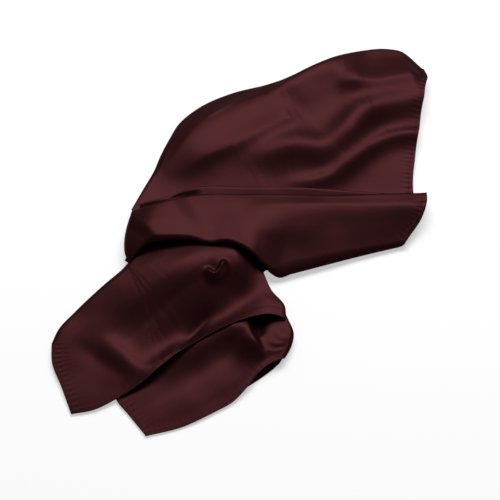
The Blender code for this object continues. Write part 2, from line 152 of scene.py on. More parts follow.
STRETCHES = [
    Stretch(
        "fan_back",
        first=edge(
            (-118, 16, 9, 6.0, 4),
            (-107, 46, 6, 0.8, 7),
            (-98, 68, 4, 0.8, 7),
            (-92, 88, 4, 0.8, 7),
            (-84, 109, 4, 0.8, 7),
            (-75, 129, 4, 0.8, 7),
            (-57, 149, 4, 0.8, 7),
            (-20, 171, 4, 0.8, 7),
            (16, 182, 4, 0.8, 7),
            (33, 187, 5, 0.8, 7),
            (64, 205, 6, 0.8, 8),
            (84, 216, 6, 0.8, 8),
            (116, 228, 6, 0.8, 7),
            (147, 232, 6, 0.8, 6),
            (160, 229, 6, 0.8, 6),
            (170, 219, 6, 0.8, 6),
            (177, 209, 6, 0.8, 5),
            (182, 201, 6, 1.5, 4),
        ),
        last=hidden((-112, 4, 7), (-60, 14, 5), (0, 20, 4), (90, 20, 3.5), (162, 24, 3)),
        start=hidden((-118, 16, 9), (-112, 4, 7)),
        end=hem(
            (182, 201, 6),
            (185, 188, 5),
            (183, 179, 4.5),
            (181, 171, 4),
            (179, 158, 4),
            (175, 140, 4),
            (172, 120, 4),
            (168, 100, 4),
            (165, 80, 3.5),
            (162, 60, 3.5),
            (161, 42, 3),
            (162, 24, 3),
        ),
        folds=[
            Fold(7, 34, 120, 0.25, 0.3, [(-96, 70), (0, 136), (90, 198), (160, 246)]),
            Fold(
                6, 20, 34, 0.35, 0.35,
                [
                    (-101, 26), (-90, 50), (-80, 70), (-70, 90), (-60, 108),
                    (-46, 126), (-9, 148), (23, 160), (60, 172),
                ],
            ),
            Fold(
                4.2, 25, 14, 0.3, 0.15,
                [(-86, 54), (-71, 64), (-42, 82), (-12, 97), (19, 118), (54, 138)],
            ),
            Fold(
                10, 30, 27, 0.3, 0,
                [
                    (-26, 62), (-12, 71), (19, 85), (49, 92), (66, 89), (80, 92),
                    (91, 101), (103, 118), (118, 137), (134, 145), (151, 151), (200, 170),
                ],
            ),
            Fold(
                3, 20, 24, 0.4, 0.4,
                [(72, 88), (84, 94), (95, 108), (106, 124), (122, 141), (142, 148)],
            ),
            Fold(
                4.5, 12, 14, 0.3, 0,
                [
                    (18, 44), (48, 49), (66, 51), (78, 56), (94, 69),
                    (110, 83), (125, 96), (141, 106), (200, 113),
                ],
            ),
            Fold(
                9, 34, 20, 0.3, 0.2,
                [(78, 176), (95, 177), (110, 176), (127, 177), (141, 181), (158, 186), (186, 193)],
            ),
            Fold(
                8, 15, 45, 0.35, 0.4,
                [(0, 158), (28, 168), (48, 180), (66, 192), (86, 202), (108, 210), (132, 212)],
            ),
        ],
    ),
    Stretch(
        "fan_tuck",
        first=edge(
            (-110, 19, 14, 11.0, 3),
            (-100, 22, 16, 11.0, 3),
            (-85, 27, 15, 9.5, 4),
            (-63, 39, 13, 8.5, 4),
            (0, 42, 11, 8.8, 4),
            (60, 41, 11, 8.5, 4),
            (100, 38, 10, 7.5, 4),
            (140, 35, 9, 6.5, 4),
        ),
        last=hidden((-108, 3, 9), (-60, 15, 9), (0, 20, 8), (142, 22, 6)),
        start=hidden((-110, 19, 14), (-108, 3, 9)),
        end=hidden((140, 35, 9), (142, 22, 6)),
        folds=[
            Fold(-2, 5, 5, 0.3, 0.3, [(-85, 24), (-75, 28), (-61, 31), (-48, 34)]),
        ],
    ),
    Stretch(
        "fan_front",
        first=edge(
            (-117, 10, 14, 12.0, 3),
            (-94, 15, 19, 14.5, 4),
            (-60, 27, 18, 13.0, 4),
            (0, 30, 16, 12.0, 4),
            (88, 30, 14, 11.0, 4),
            (140, 33, 13, 9.0, 4),
            (173, 35, 11, 8.0, 4),
        ),
        last=edge(
            (-117, -50, 11.6, 10.5, 0.8),
            (-108, -40, 18, 13.0, 4),
            (-97, -33, 23, 16.0, 5),
            (-80, -31, 25, 18.0, 5),
            (-58, -31, 25, 19.0, 5),
            (-40, -35, 24, 19.4, 4),
            (-24, -34, 26, 20.0, 4),
            (-8, -40, 25, 18.5, 4),
            (2, -46, 22, 17.0, 4),
            (10, -53, 17, 13.0, 4),
            (18, -59, 12, 5.0, 4),
            (26, -62, 8, 0.8, 10),
            (38, -58, 8, 0.8, 12),
            (60, -51, 8, 0.8, 11),
            (110, -35, 6, 0.8, 7),
            (148, -24, 5, 0.8, 4),
        ),
        start=edge(
            (-117, 10, 14, 12.0, 3),
            (-122, -9, 13.5, 1.0, 4),
            (-123, -27, 13.5, 1.0, 4),
            (-121, -40, 12.5, 7.0, 2),
            (-117, -50, 11.6, 10.5, 0.8),
        ),
        end=hem((173, 35, 11), (173, 27, 11), (166, 3, 8), (154, -15, 6), (148, -24, 5)),
        folds=[
            Fold(4, 14, 32, 0.35, 0, [(-15, 8), (40, 12), (88, 13), (140, 14), (190, 18)]),
            Fold(4, 40, 26, 0.3, 0.5, [(-12, -20), (20, -14), (50, -9), (90, -2)]),
            Fold(2.5, 30, 40, 0.2, 0.3, [(-112, -20), (-95, -5), (-80, 6), (-60, 18)]),
            Fold(-1, 3, 4, 0.6, 0, [(154, 19), (162, 21), (180, 26)]),
        ],
    ),
    Stretch(
        "tail_upper",
        first=edge(
            (-110, -26, 9, 7.5, 2),
            (-114, -38, 10, 3.0, 5),
            (-120, -50, 11.5, 1.5, 7),
            (-140, -72, 10.5, 0.8, 7),
            (-153, -86, 8.5, 0.8, 7),
            (-166, -101, 6, 0.8, 6),
            (-180, -120, 5, 0.8, 6),
            (-185, -135, 4, 0.8, 4),
        ),
        last=hem(
            (32, -112, 11),
            (17, -109, 14.5),
            (4, -111, 16),
            (-16, -118, 17),
            (-38, -129, 16),
            (-60, -144, 13.5),
            (-82, -163, 9),
            (-97, -177, 6),
            (-123, -194, 3),
            (-142, -204, 2),
            (-162, -208, 1.5),
        ),
        start=edge(
            (-110, -26, 9, 7.5, 2),
            (-60, -22, 12.2, 11.3, 2),
            (-30, -24, 10.5, 9.8, 2),
            (-8, -30, 7, 5.5, 2),
            (4, -40, 6, 4.5, 2),
            (9, -50, 7.5, 5.5, 3),
            (12, -60, 8.5, 5.5, 3),
            (19, -79, 9.5, 6.0, 3),
            (31, -97, 10, 7.0, 3),
            (32, -112, 11, 7.5, 3),
        ),
        end=hem((-185, -135, 4), (-183, -156, 4), (-173, -180, 3), (-162, -208, 1.5)),
        folds=[
            Fold(
                10.5, 30, 32, 0.15, 0.62,
                [
                    (8, -42), (-6, -43), (-20, -45), (-37, -51), (-54, -60),
                    (-74, -74), (-96, -93), (-118, -101), (-142, -110),
                ],
            ),
            Fold(
                -9.2, 24, 26, 0.3, 0.4,
                [
                    (16, -52), (6, -69), (-5, -84), (-19, -98), (-35, -110),
                    (-52, -121), (-69, -133), (-84, -141), (-98, -144), (-114, -141),
                ],
            ),
            Fold(
                -2.5, 6, 8, 0.3, 0.4,
                [(-34, -96), (-44, -110), (-53, -124), (-62, -138), (-70, -150)],
            ),
            Fold(
                3.5, 12, 20, 0.2, 0.3,
                [
                    (-146, -128), (-133, -136), (-122, -146), (-112, -158), (-98, -166),
                    (-84, -160), (-71, -147), (-61, -130), (-51, -115),
                ],
            ),
            Fold(
                -1.2, 12, 12, 0.3, 0.35,
                [(-169, -127), (-159, -137), (-142, -151), (-130, -160), (-115, -168), (-96, -170)],
            ),
        ],
    ),
    Stretch(
        "tail_lower",
        first=hidden((-25, -78, 4.5), (-60, -118, 2), (-95, -155, 2.5), (-126, -185, 1.5)),
        last=hem(
            (30, -153, 7.5),
            (20, -157, 7.5),
            (9, -165, 6.5),
            (-4, -182, 4.5),
            (-17, -196, 2.5),
            (-33, -206, 2),
            (-62, -221, 1.5),
            (-94, -230, 1.5),
        ),
        start=edge(
            (-25, -78, 4.5, 4.0, 2),
            (10, -85, 5, 4.2, 2),
            (29, -98, 5.5, 3.0, 3),
            (34, -110, 8.2, 3.0, 4),
            (39, -126, 9, 2.5, 5),
            (37, -138, 8, 2.5, 4),
            (30, -153, 7.5, 3.5, 3),
        ),
        end=hem((-126, -185, 1.5), (-122, -194, 1.5), (-111, -208, 1.5), (-94, -230, 1.5)),
        folds=[
            Fold(
                6.5, 21, 7, 0.2, 0.55,
                [(0, -111), (-18, -119), (-40, -130), (-60, -144), (-80, -162), (-96, -176)],
            ),
            Fold(
                8, 5, 17, 0.4, 0.4,
                [(-6, -98), (-5, -113), (-2, -125), (2, -136), (8, -146), (14, -155)],
            ),
            Fold(-3.8, 5, 5, 0.1, 0.3, [(12, -98), (9, -112), (7, -122), (9, -132)]),
        ],
    ),
]

# Each hem: the stretch that it finishes and the side that it runs along
HEMS = {
    "hem_fan_back": ("fan_back", "end"),
    "hem_fan_front": ("fan_front", "end"),
    "hem_tail_upper_end": ("tail_upper", "end"),
    "hem_tail_upper_side": ("tail_upper", "last"),
    "hem_tail_lower_end": ("tail_lower", "end"),
    "hem_tail_lower_side": ("tail_lower", "last"),
}

# How strongly each hem's stitches draw the cloth up, as a share of the pucker height
PUCKERS = {
    ("fan_back", "end"): 1.0,
    ("fan_front", "end"): 0.7,
    ("tail_upper", "end"): 0.7,
    ("tail_upper", "last"): 0.2,
    ("tail_lower", "end"): 0.4,
    ("tail_lower", "last"): 0.4,
}

# The layers underneath, a row for each section from the tails to the fan, from its left to its right end
Section = namedtuple("Section", "left_x left_y right_x right_y")
CORE_SECTIONS = [
    Section(-172, -145, -155, -192),
    Section(-155, -112, -120, -183),
    Section(-135, -88, -98, -210),
    Section(-118, -68, -60, -203),
    Section(-108, -48, -30, -194),
    Section(-107, -28, 6, -172),
    Section(-109, -10, 30, -146),
    Section(-108, 8, 24, -108),
    Section(-102, 26, 8, -62),
    Section(-92, 48, 32, -44),
    Section(-78, 85, 62, -37),
    Section(-62, 118, 105, -23),
    Section(-25, 148, 140, -13),
    Section(40, 172, 158, 15),
    Section(90, 199, 156, 50),
    Section(128, 212, 160, 95),
    Section(152, 213, 166, 135),
    Section(168, 200, 172, 165),
]

# The fine creases of some stretches, as further folds
CREASES = {
    "fan_back": [
        Fold(0.7, 3, 5, 0.2, 0.2, [(34, 186), (11, 172), (-12, 157), (-32, 141), (-50, 126)]),
    ],
    "tail_upper": [
        Fold(
            7, 4.5, 4, 0.3, 0.3,
            [(-27, -50), (-27, -58), (-30, -66), (-35, -70), (-40, -67), (-41, -59)],
        ),
    ],
    "tail_lower": [
        Fold(0.5, 3, 2, 0.3, 0.3, [(14, -133), (24, -139), (33, -137)]),
        Fold(0.5, 2, 3, 0.3, 0.3, [(12, -143), (20, -146), (31, -143)]),
        Fold(0.4, 2, 3, 0.3, 0.3, [(22, -124), (27, -131), (35, -133)]),
    ],
}

# The flat cut of what shows of each stretch, in metres and square metres, and what it lies on
Cut = namedtuple("Cut", "width length area rests_on")


def spline(points, count):
    """Evenly spaced places along a smooth curve through the points, by their distance on the plan."""
    points = np.array(points, float)
    steps = np.linalg.norm(np.diff(points[:, :2], axis=0), axis=1)
    knots = np.concatenate([[0.0], np.cumsum(steps)])
    chords = np.diff(points, axis=0) / steps[:, None]
    before, after = steps[:-1, None], steps[1:, None]
    inner = (chords[:-1] * after + chords[1:] * before) / (before + after)
    slopes = np.vstack([chords[:1], inner, chords[-1:]])
    place = np.linspace(0.0, knots[-1], CURVE_DETAIL * count)
    i = np.clip(np.searchsorted(knots, place, "right") - 1, 0, len(steps) - 1)
    size = steps[i][:, None]
    s = (place[:, None] - knots[i][:, None]) / size
    curve = (
        (1 + 2 * s) * (1 - s) ** 2 * points[i]
        + s * (1 - s) ** 2 * size * slopes[i]
        + s**2 * (3 - 2 * s) * points[i + 1]
        + s**2 * (s - 1) * size * slopes[i + 1]
    )
    gone = distances(curve[:, :2])
    even = np.linspace(0.0, gone[-1], count)
    return np.column_stack([np.interp(even, gone, column) for column in curve.T])


def sample(curve, places):
    """The values of an evenly spaced curve at places from 0 to 1."""
    along = np.linspace(0.0, 1.0, len(curve))
    return np.stack([np.interp(places, along, column) for column in curve.T], axis=-1)


def distances(line):
    """How far each point of a line lies along it."""
    return np.concatenate([[0.0], np.cumsum(np.linalg.norm(np.diff(line, axis=0), axis=1))])


def plan_length(curve):
    return distances(curve[:, :2])[-1]


def beside(route, plan):
    """How far each plan point lies from a route, whether on its left, and its share of the way along."""
    steps = np.diff(route, axis=0)
    away = plan[:, None, :] - route[None, :-1]
    along = np.clip((away * steps).sum(2) / (steps**2).sum(1), 0.0, 1.0)
    gap = np.linalg.norm(away - along[..., None] * steps, axis=2)
    nearest = gap.argmin(1)
    each = np.arange(len(plan))
    near = away[each, nearest]
    step = steps[nearest]
    left = step[:, 0] * near[:, 1] - step[:, 1] * near[:, 0] > 0
    return gap[each, nearest], left, (nearest + along[each, nearest]) / len(steps)


def smooth(share):
    """A share from 0 to 1 that leaves both ends without a kink."""
    share = np.clip(share, 0.0, 1.0)
    return share * share * (3 - 2 * share)


def fold_heights(folds, plan):
    """How high the folds lift each plan point, or how deep they sink it."""
    total = np.zeros(len(plan))
    for fold in folds:
        away, left, place = beside(spline(fold.route, ROUTE_STEPS), plan)
        width = np.where(left, fold.left, fold.right)
        rising = smooth(place / fold.rise) if fold.rise else 1.0
        sinking = smooth((1 - place) / fold.sink) if fold.sink else 1.0
        total += fold.height * rising * sinking / np.cosh(FOLD_SHARPNESS * away / width) ** 2
    return total


def soft_floor(height):
    """Heights held above the lowest, with a soft bend where they reach it."""
    above = height - LOWEST
    return LOWEST + (above + np.sqrt(above**2 + LOWEST_BEND**2)) / 2


def lie(plan):
    """The soft unevenness of cloth that nothing pulls tight."""
    spots = [noise.noise(Vector((x, y, 0.0)) / LIE_LENGTH) for x, y in plan]
    return LIE_HEIGHT * np.array(spots)


def waves(table, along):
    """The sum of a table's waves at distances along a hem."""
    return sum(wave.size * np.sin(along / wave.length + wave.start) for wave in table)


class Cloth:
    """One stretch as a smooth sheet. Share u runs from its start to its end, share v from first to last."""

    def __init__(self, stretch):
        self.stretch = stretch
        self.sides = {name: getattr(stretch, name) for name in ("first", "last", "start", "end")}
        self.curves = {name: spline(side.points, SIDE_STEPS) for name, side in self.sides.items()}
        for curve in self.curves.values():
            curve[:, 2:4] = np.maximum(curve[:, 2:4], LOWEST)

    def surface(self, u, v):
        """The points of the sheet at these shares, with its folds, its puckers and its rolled edges."""
        first, last, start, end = (
            sample(self.curves[name][:, :3], where)
            for name, where in (("first", u), ("last", u), ("start", v), ("end", v))
        )
        corners = [self.curves[name][i, :3] for name in ("first", "last") for i in (0, -1)]
        u = u[..., None]
        v = v[..., None]
        between_first = (1 - u) * corners[0] + u * corners[1]
        between_last = (1 - u) * corners[2] + u * corners[3]
        sheet = (1 - v) * first + v * last + (1 - u) * start + u * end
        sheet -= (1 - v) * between_first + v * between_last
        plan = sheet[..., :2].reshape(-1, 2)
        folds = self.stretch.folds + CREASES.get(self.stretch.name, [])
        height = sheet[..., 2].reshape(-1) + fold_heights(folds, plan) + lie(plan)
        for name, side in self.sides.items():
            if side.kind == "hem":
                height += self.puckers(name, plan)
        height = soft_floor(height)
        for name, side in self.sides.items():
            if side.kind == "edge":
                height = self.rolled(self.curves[name], plan, height)
        return np.column_stack([plan, height]).reshape(sheet.shape)

    def rolled(self, curve, plan, height):
        """The heights, brought down in a quarter round over the edge to halfway down to its foot."""
        away, _, place = beside(curve[::EDGE_EVERY, :2], plan)
        top, foot, roll = sample(curve[:, 2:5], place).T
        share = np.clip(away / roll, 0.0, 1.0)
        middle = (top + foot) / 2
        return middle + (height - middle) * np.sqrt(1 - (1 - share) ** 2)

    def puckers(self, name, plan):
        """The small waves that a hem's stitches draw up, gone a little way into the cloth."""
        curve = self.curves[name]
        away, _, place = beside(curve[::EDGE_EVERY, :2], plan)
        along = place * plan_length(curve)
        wave = np.sin(2 * np.pi * along / PUCKER_PERIOD + waves(PUCKER_WANDER, along))
        strength = PUCKER_MIDDLE + waves(PUCKER_SWELL, along)
        inward = np.maximum(away - HEM_WIDTH, 0.0)
        from_rim = np.clip(away / HEM_WIDTH, 0.0, 1.0)
        fade = np.exp(-inward / PUCKER_REACH) * (PUCKER_RIM + (1 - PUCKER_RIM) * from_rim)
        height = cloth_sizes().pucker_height / MM * PUCKERS[self.stretch.name, name]
        return height * strength * wave * fade

    def across(self, places):
        """The steps on the plan from the first side to the last."""
        return sample(self.curves["last"][:, :2], places) - sample(self.curves["first"][:, :2], places)

    def starts(self, name, places):
        """Distances from a side at which the rows next to it lie, at each place along it."""
        kind = self.sides[name].kind
        if kind == "edge":
            return (1 - np.cos(ROLL_ANGLES))[:, None] * sample(self.curves[name][:, 4:5], places)[:, 0]
        if kind == "hem":
            return ((HEM_WIDTH - HEM_UNDERLAP) * self.slant(name, places))[None]
        return np.zeros((1, len(places)))

    def slant(self, name, places):
        """How much longer a step along the grid is than one square to the "last" or the "end" side."""
        if name == "last":
            step = self.across(places)
        else:
            rows = [self.curves[side][:, :2] for side in ("first", "last")]
            steps = [row[-1] - row[-END_STEPS] for row in rows]
            step = steps[0] * (1 - places[:, None]) + steps[1] * places[:, None]
        side = sample(np.gradient(self.curves[name][:, :2], axis=0), places)
        crossed = np.abs(step[:, 0] * side[:, 1] - step[:, 1] * side[:, 0])
        square = crossed / np.linalg.norm(step, axis=1) / np.linalg.norm(side, axis=1)
        return 1 / np.maximum(square, LEAST_SQUARE)

    def shares(self, count, lengths, near, near_places, far, far_places):
        """The shares of a grid's lines: set ones next to both sides, and even ones between them."""
        head = self.starts(near, near_places) / lengths
        tail = 1 - self.starts(far, far_places)[::-1] / lengths
        inner = max(count - len(head) - len(tail), 1)
        body = np.linspace(head[-1], tail[0], inner + 2)[1:-1]
        return np.vstack([head, body, tail])

    def panel_shares(self):
        """u and v of a panel's grid, closer together where it rolls over an edge."""
        spacing = cloth_sizes().grid_spacing / MM
        lengths = np.array([plan_length(self.curves[name]) for name in ("first", "last")])
        middle = np.array([0.5])
        columns = round(lengths.max() / spacing) + len(ROLL_ANGLES)
        u_line = self.shares(columns, lengths.mean(), "start", middle, "end", middle)[:, 0]
        widths = np.linalg.norm(self.across(u_line), axis=1)
        rows = round(widths.max() / spacing) + len(ROLL_ANGLES)
        v = self.shares(rows, widths, "first", u_line, "last", u_line)
        row_lengths = lengths[0] + (lengths[1] - lengths[0]) * v[:, -1]
        u = self.shares(columns, row_lengths, "start", v[:, 0], "end", v[:, -1]).T
        return u, v

    def panel(self):
        """The grid of the whole stretch, with the rows that turn under its edges."""
        u, v = self.panel_shares()
        grid = self.surface(u, v)
        rows_under = len(TUCK_ANGLES) + 1
        under = {name: rows_under * (side.kind == "edge") for name, side in self.sides.items()}
        for name in ("first", "last"):
            if under[name]:
                grid = self.tucked(grid, name, 0, (0, 0))
        for name in ("start", "end"):
            if under[name]:
                grid = self.tucked(grid, name, 1, (under["first"], under["last"]))
        return grid

    def tucked(self, grid, name, axis, turned):
        """The grid with the rows that turn under an edge, back along its inner side down to the foot. The
        ends of its rim, when they're turned under already, go the way of their neighbours."""
        lines = np.moveaxis(grid, axis, 0)
        if name in ("last", "end"):
            lines = lines[::-1]
        rim, inner = lines[0], lines[len(ROLL_ANGLES) - 1]
        _, _, place = beside(self.curves[name][::EDGE_EVERY, :2], rim[:, :2])
        foot, roll = sample(self.curves[name][:, 3:5], place).T
        open_rim = rim[turned[0] : len(rim) - turned[1], :2]
        along = np.pad(np.gradient(open_rim, axis=0), (turned, (0, 0)), mode="edge")
        inward = np.column_stack([-along[:, 1], along[:, 0]])
        inward /= np.linalg.norm(inward, axis=1)[:, None]
        inward *= np.sign(((inner - rim)[:, :2] * inward).sum(1).mean())
        drop = np.maximum(rim[:, 2] - foot, 0.0)
        for angle in TUCK_ANGLES:
            row = rim.copy()
            row[:, :2] += inward * (TUCK_REACH * roll * (1 - np.cos(angle)))[:, None]
            row[:, 2] -= drop * np.sin(angle)
            lines = np.concatenate([row[None], lines])
        row = lines[0].copy()
        row[:, :2] += inward * UNDER_REACH
        lines = np.concatenate([row[None], lines])
        if name in ("last", "end"):
            lines = lines[::-1]
        return np.moveaxis(lines, 0, axis)

    def hem_places(self, name):
        """Evenly spaced places along a hem, and the length of the grid's line through each."""
        steps = round(plan_length(self.curves[name]) / (cloth_sizes().grid_spacing / MM)) + 1
        places = np.linspace(0.0, 1.0, steps)
        if name == "end":
            if self.sides["first"].kind == "edge":
                places = np.linspace(HEM_START, 1.0, steps)
            lengths = [plan_length(self.curves[side]) for side in ("first", "last")]
            lengths = lengths[0] * (1 - places) + lengths[1] * places
        else:
            lengths = np.linalg.norm(self.across(places), axis=1)
        return places, lengths

    def hem(self, name, insets):
        """The lines that run along the "last" or the "end" side at these distances inside it."""
        places, lengths = self.hem_places(name)
        strip = 1 - np.array(insets)[:, None] * self.slant(name, places) / lengths
        along = np.broadcast_to(places, strip.shape)
        return self.surface(strip, along) if name == "end" else self.surface(along, strip)


# Settings


class ScarfCloth(bpy.types.PropertyGroup):
    """The sizes of the cloth as it is drawn."""

    shell: FloatProperty(
        name="Cloth thickness",
        description="Thickness of the shell that stands for one layer of satin",
        default=0.35 * MM,
        unit="LENGTH",
        precision=5,
    )
    hem: FloatProperty(
        name="Hem thickness",
        description="Thickness of the turned hem",
        default=0.8 * MM,
        unit="LENGTH",
        precision=5,
    )
    grid_spacing: FloatProperty(
        name="Grid spacing",
        description="Distance between the points of each shell",
        default=1.5 * MM,
        unit="LENGTH",
        precision=5,
    )
    pucker_height: FloatProperty(
        name="Pucker height",
        description="Height of the small waves along the stitched hems",
        default=0.3 * MM,
        unit="LENGTH",
        precision=5,
    )


class ScarfFinish(bpy.types.PropertyGroup):
    """The colours and sheen of the satin."""

    satin: FloatVectorProperty(
        name="Satin",
        description="Colour of the satin's face",
        subtype="COLOR",
        size=4,
        min=0.0,
        max=1.0,
        default=(0.047, 0.012, 0.0135, 1.0),
    )
    thread: FloatVectorProperty(
        name="Thread",
        description="Colour of the hem's stitches",
        subtype="COLOR",
        size=4,
        min=0.0,
        max=1.0,
        default=(0.03, 0.009, 0.01, 1.0),
    )
    roughness: FloatProperty(
        name="Roughness",
        description="How widely the satin spreads its sheen",
        default=0.44,
        min=0.0,
        max=1.0,
        subtype="FACTOR",
    )
    sheen: FloatProperty(
        name="Tinted sheen",
        description="How much of the light comes back as a sheen in the satin's own colour",
        default=0.7,
        min=0.0,
        max=1.0,
        subtype="FACTOR",
    )


class ScarfStage(bpy.types.PropertyGroup):
    """The floor, lamp and camera around the scarf."""

    floor: FloatVectorProperty(
        name="Floor",
        description="Colour of the floor",
        subtype="COLOR",
        size=4,
        min=0.0,
        max=1.0,
        default=(0.98, 0.98, 0.98, 1.0),
    )
    key: FloatProperty(
        name="Key lamp",
        description="Power of the large soft lamp behind the scarf",
        default=66.0,
        min=0.0,
        unit="POWER",
    )
    camera_distance: FloatProperty(
        name="Camera distance",
        description="Distance from the camera to the middle of the scarf",
        default=1.4,
        unit="LENGTH",
    )
    camera_height: FloatProperty(
        name="Camera angle",
        description="Angle of the camera above the surface",
        default=math.radians(55),
        subtype="ANGLE",
    )


def cloth_sizes():
    return bpy.context.scene.scarf_cloth


def finish_values():
    return bpy.context.scene.scarf_finish


def stage_values():
    return bpy.context.scene.scarf_stage


# Finishes

# A pattern of soft spots: how long and how wide they are in millimetres, and how fine its detail is
Pattern = namedtuple("Pattern", "length width detail")
STREAKS = Pattern(14.0, 0.8, 3.0)
THREADS = Pattern(2.4, 0.3, 1.0)
STREAK_STOPS = (0.3, 0.7)
STREAK_SHADES = (0.93, 1.07)
WEAVE_STRENGTH = 0.35
WEAVE_DEPTH = 0.02
SATIN_GLOSS = 0.1
SATIN_GLOSS_TINT = (0.35, 0.12, 0.13, 1.0)
TURNED_SHADE = 0.97
# The layers underneath get a darker copy of the satin: painted shade, for where they lie in the shadow of
# the cloth above
INSIDE_PAINTED_SHADE = 0.8
STITCH_ROUGHNESS = 0.5
STITCH_GLOSS = 0.3
STITCH_SPOTS = 900.0
STITCH_DETAIL = 2.0
STITCH_SHADES = (0.8, 1.2)


def add_node(tree, kind, **settings):
    node = tree.nodes.new(kind)
    for name, value in settings.items():
        setattr(node, name, value)
    return node


def new_finish(name, roughness, gloss):
    """A new material, with its node tree and its shader."""
    material = bpy.data.materials.new(name)
    material.use_nodes = True
    shader = material.node_tree.nodes["Principled BSDF"]
    shader.inputs["Roughness"].default_value = roughness
    shader.inputs["Specular IOR Level"].default_value = gloss
    return material, material.node_tree, shader


def noise_pattern(tree, coordinates, scale, detail):
    """A noise pattern over these coordinates."""
    texture = add_node(tree, "ShaderNodeTexNoise")
    texture.inputs["Scale"].default_value = scale
    texture.inputs["Detail"].default_value = detail
    tree.links.new(coordinates, texture.inputs["Vector"])
    return texture.outputs["Fac"]


def shaded(tree, shader, pattern, color, shades, stops):
    """Varies the shader's colour with a pattern, from one shade of it to another."""
    ramp = add_node(tree, "ShaderNodeValToRGB")
    for element, shade, stop in zip(ramp.color_ramp.elements, shades, stops):
        element.position = stop
        element.color = tinted(color, shade)
    tree.links.new(pattern, ramp.inputs["Fac"])
    tree.links.new(ramp.outputs["Color"], shader.inputs["Base Color"])


def weave_coordinates(tree, pattern):
    """The cloth's own coordinates, stretched so that a pattern's spots get their length and width."""
    uv = add_node(tree, "ShaderNodeUVMap", uv_map="Cloth")
    mapping = add_node(tree, "ShaderNodeMapping")
    mapping.inputs["Scale"].default_value = (1 / (pattern.length * MM), 1 / (pattern.width * MM), 1.0)
    tree.links.new(uv.outputs["UV"], mapping.inputs["Vector"])
    return mapping.outputs["Vector"]


def tinted(color, share):
    return [channel * share for channel in color[:3]] + [1.0]


def satin(name, color):
    """Satin: a sheen in the cloth's own colour, faint streaks along the threads and the fine weave."""
    values = finish_values()
    material, tree, shader = new_finish(name, values.roughness, SATIN_GLOSS)
    shader.inputs["Metallic"].default_value = values.sheen
    shader.inputs["Specular Tint"].default_value = SATIN_GLOSS_TINT
    streaks = noise_pattern(tree, weave_coordinates(tree, STREAKS), 1.0, STREAKS.detail)
    shaded(tree, shader, streaks, color, STREAK_SHADES, STREAK_STOPS)
    bump = add_node(tree, "ShaderNodeBump")
    bump.inputs["Strength"].default_value = WEAVE_STRENGTH
    bump.inputs["Distance"].default_value = WEAVE_DEPTH * MM
    threads = noise_pattern(tree, weave_coordinates(tree, THREADS), 1.0, THREADS.detail)
    tree.links.new(threads, bump.inputs["Height"])
    tree.links.new(bump.outputs["Normal"], shader.inputs["Normal"])
    return material


def thread_finish(name):
    """The sewing thread of the hems, a little uneven in shade."""
    material, tree, shader = new_finish(name, STITCH_ROUGHNESS, STITCH_GLOSS)
    place = add_node(tree, "ShaderNodeTexCoord")
    pattern = noise_pattern(tree, place.outputs["Object"], STITCH_SPOTS, STITCH_DETAIL)
    shaded(tree, shader, pattern, finish_values().thread, STITCH_SHADES, (0.0, 1.0))
    return material


# Pieces


def new_object(name, bm, material):
    """An object in the scene with this mesh, smoothly shaded."""
    mesh = bpy.data.meshes.new(name)
    bm.to_mesh(mesh)
    bm.free()
    mesh.shade_smooth()
    mesh.materials.append(material)
    obj = bpy.data.objects.new(name, mesh)
    bpy.context.scene.collection.objects.link(obj)
    return obj


def distances_along(grid, axis):
    """How far each point of a grid lies along its line, in metres."""
    gone = np.linalg.norm(np.diff(grid, axis=axis), axis=2).cumsum(axis=axis) * MM
    return np.pad(gone, [(1, 0) if i == axis else (0, 0) for i in (0, 1)])


def grid_object(name, grid, material):
    """An object whose mesh is a flat grid with its points moved to the rows and columns given, in
    millimetres. Its UV map holds the distances along and across the cloth, in metres."""
    rows, columns = grid.shape[:2]
    bm = bmesh.new()
    bmesh.ops.create_grid(bm, x_segments=columns - 1, y_segments=rows - 1, size=0.5)
    ordered = sorted(bm.verts, key=lambda vert: (round(vert.co.y, 5), round(vert.co.x, 5)))
    places = grid.reshape(-1, 3) * MM
    cloth_places = np.stack([distances_along(grid, 1), distances_along(grid, 0)], axis=2).reshape(-1, 2)
    weave = {}
    for vert, place, cloth_place in zip(ordered, places, cloth_places):
        vert.co = Vector(place)
        weave[vert] = cloth_place
    layer = bm.loops.layers.uv.new("Cloth")
    for face in bm.faces:
        for loop in face.loops:
            loop[layer].uv = weave[loop.vert]
    bmesh.ops.recalc_face_normals(bm, faces=bm.faces[:])
    if sum(face.normal.z for face in bm.faces) < 0:
        bmesh.ops.reverse_faces(bm, faces=bm.faces[:])
    return new_object(name, bm, material)


def shell(obj, thickness):
    """Gives a sheet its thickness, half of it to each side."""
    modifier = obj.modifiers.new("Shell", "SOLIDIFY")
    modifier.thickness = thickness
    modifier.offset = 0.0


def rounded(obj, width):
    """Rounds the sharp edges of a strip."""
    modifier = obj.modifiers.new("Rounded edges", "BEVEL")
    modifier.width = width
    modifier.segments = HEM_SEGMENTS
    modifier.limit_method = "ANGLE"
    modifier.angle_limit = SHARP_ANGLE


def on_scarf(obj, slot, *nodes):
    """Puts a piece on the scarf's body, in place of the solids named. The slot is not used."""
    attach(obj, BODY)
    if nodes:
        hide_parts(*nodes)
    return obj


def stretch_named(name):
    return next(stretch for stretch in STRETCHES if stretch.name == name)


def make_stretch(name):
    """A stretch of cloth as a thin shell, in place of its solid."""
    grid = Cloth(stretch_named(name)).panel()
    obj = grid_object(name + "_cloth", grid, bpy.data.materials["satin_face"])
    shell(obj, cloth_sizes().shell)
    return on_scarf(obj, "satin", name)


def make_hem(name):
    """A hem as a turned strip, in place of its solid."""
    stretch, side = HEMS[name]
    insets = np.linspace(HEM_WIDTH, 0.0, HEM_ROWS)
    grid = Cloth(stretch_named(stretch)).hem(side, insets)
    obj = grid_object(name + "_strip", grid, bpy.data.materials["satin_turned"])
    shell(obj, cloth_sizes().hem)
    rounded(obj, HEM_ROUND * MM)
    return on_scarf(obj, "satin_hem", name)


